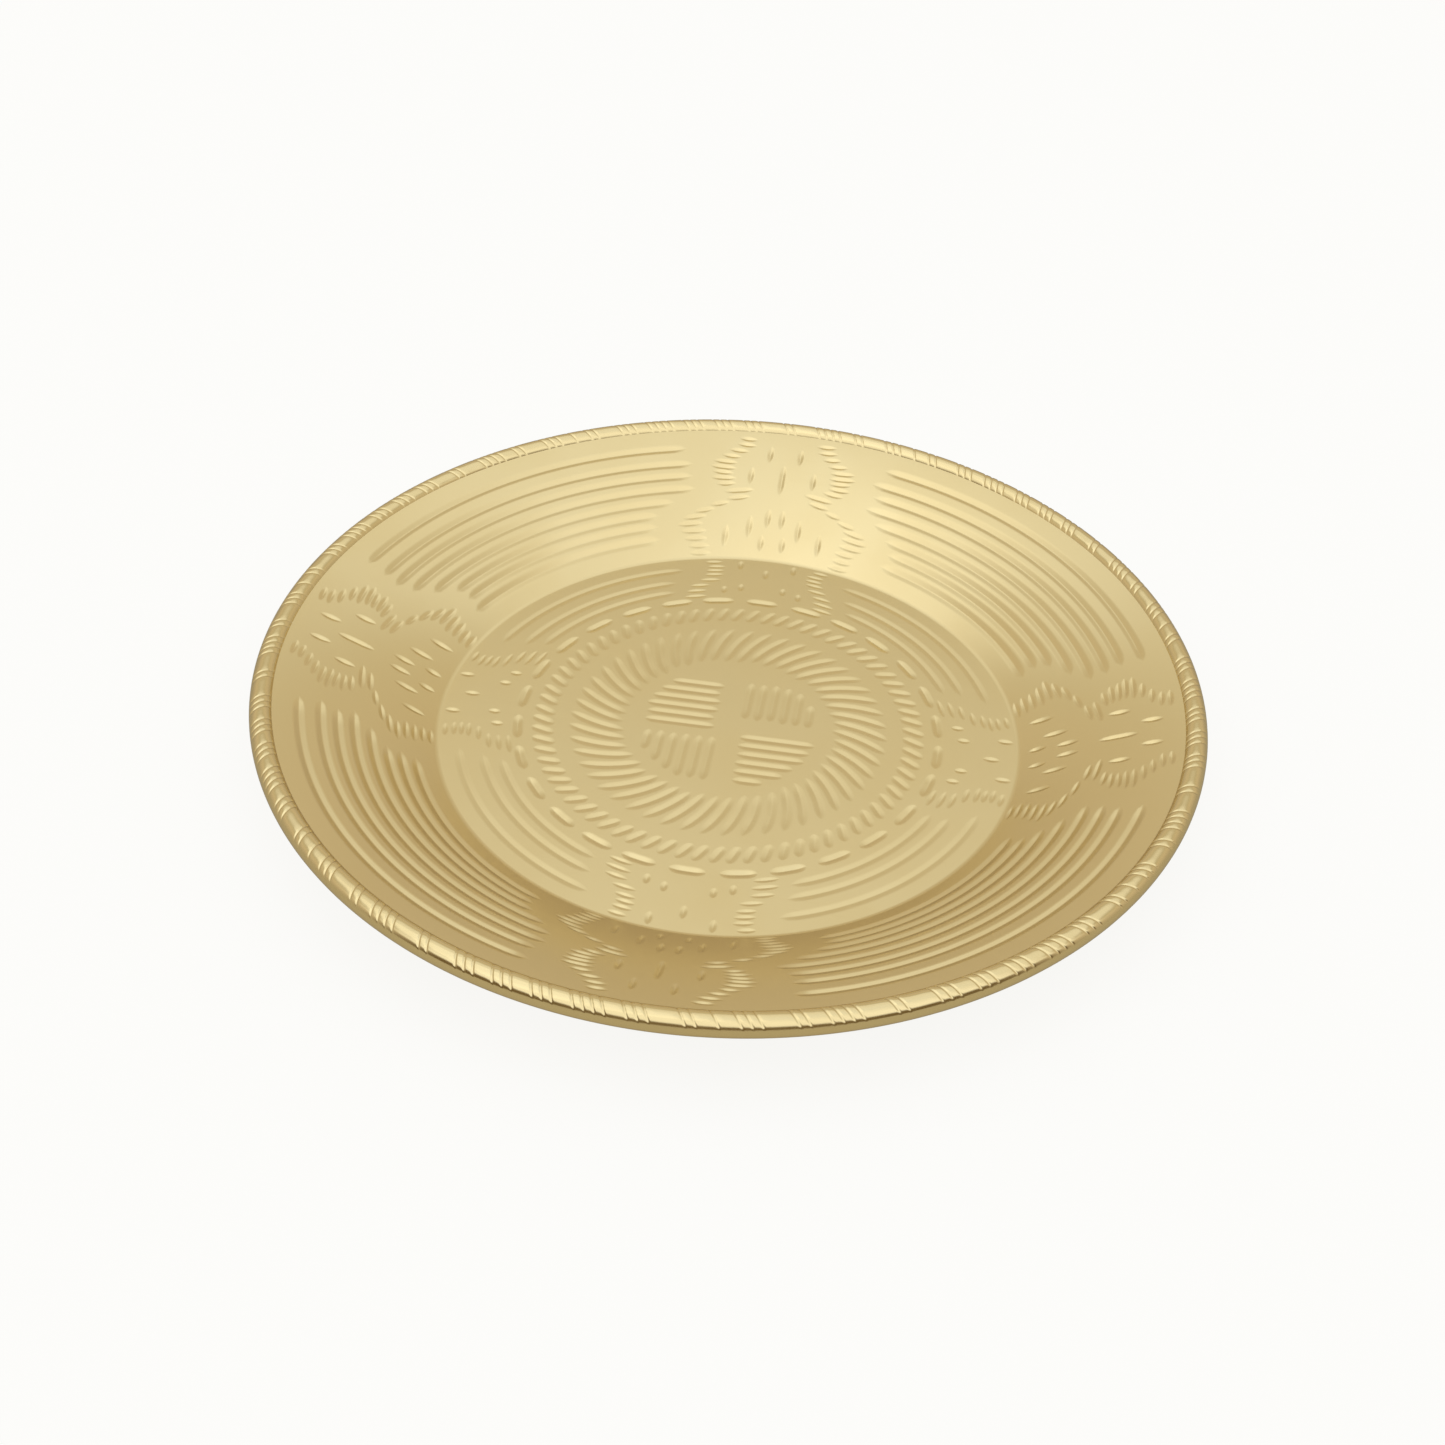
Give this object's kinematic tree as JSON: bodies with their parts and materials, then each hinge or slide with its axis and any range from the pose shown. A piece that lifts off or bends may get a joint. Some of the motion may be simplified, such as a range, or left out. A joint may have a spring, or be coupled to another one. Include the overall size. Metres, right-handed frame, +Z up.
{
  "type": "paten plate",
  "caption": "Shallow round gilt plate with a flat floor, a domed flange with chased grooves and a round notched edge bead.",
  "frame": {"origin": "centre of the underside of the floor, on the surface that the plate stands on", "axes": "+Z up along the axis of the plate; the arms of the chased cross lie along X and Y"},
  "size_m": [0.15, 0.15, 0.0137],
  "materials": {
    "gilt_sheet": "satin gilt, finely brushed, with bright cuts",
    "gilt_bead": "burnished gilt, dark in the notches",
    "bare_wire": "drawn brass wire, not gilded"
  },
  "bodies": {
    "root": {"dish": "gilt_sheet", "rim_bead": "gilt_bead", "rim_wire": "bare_wire"}
  },
  "joints": []
}
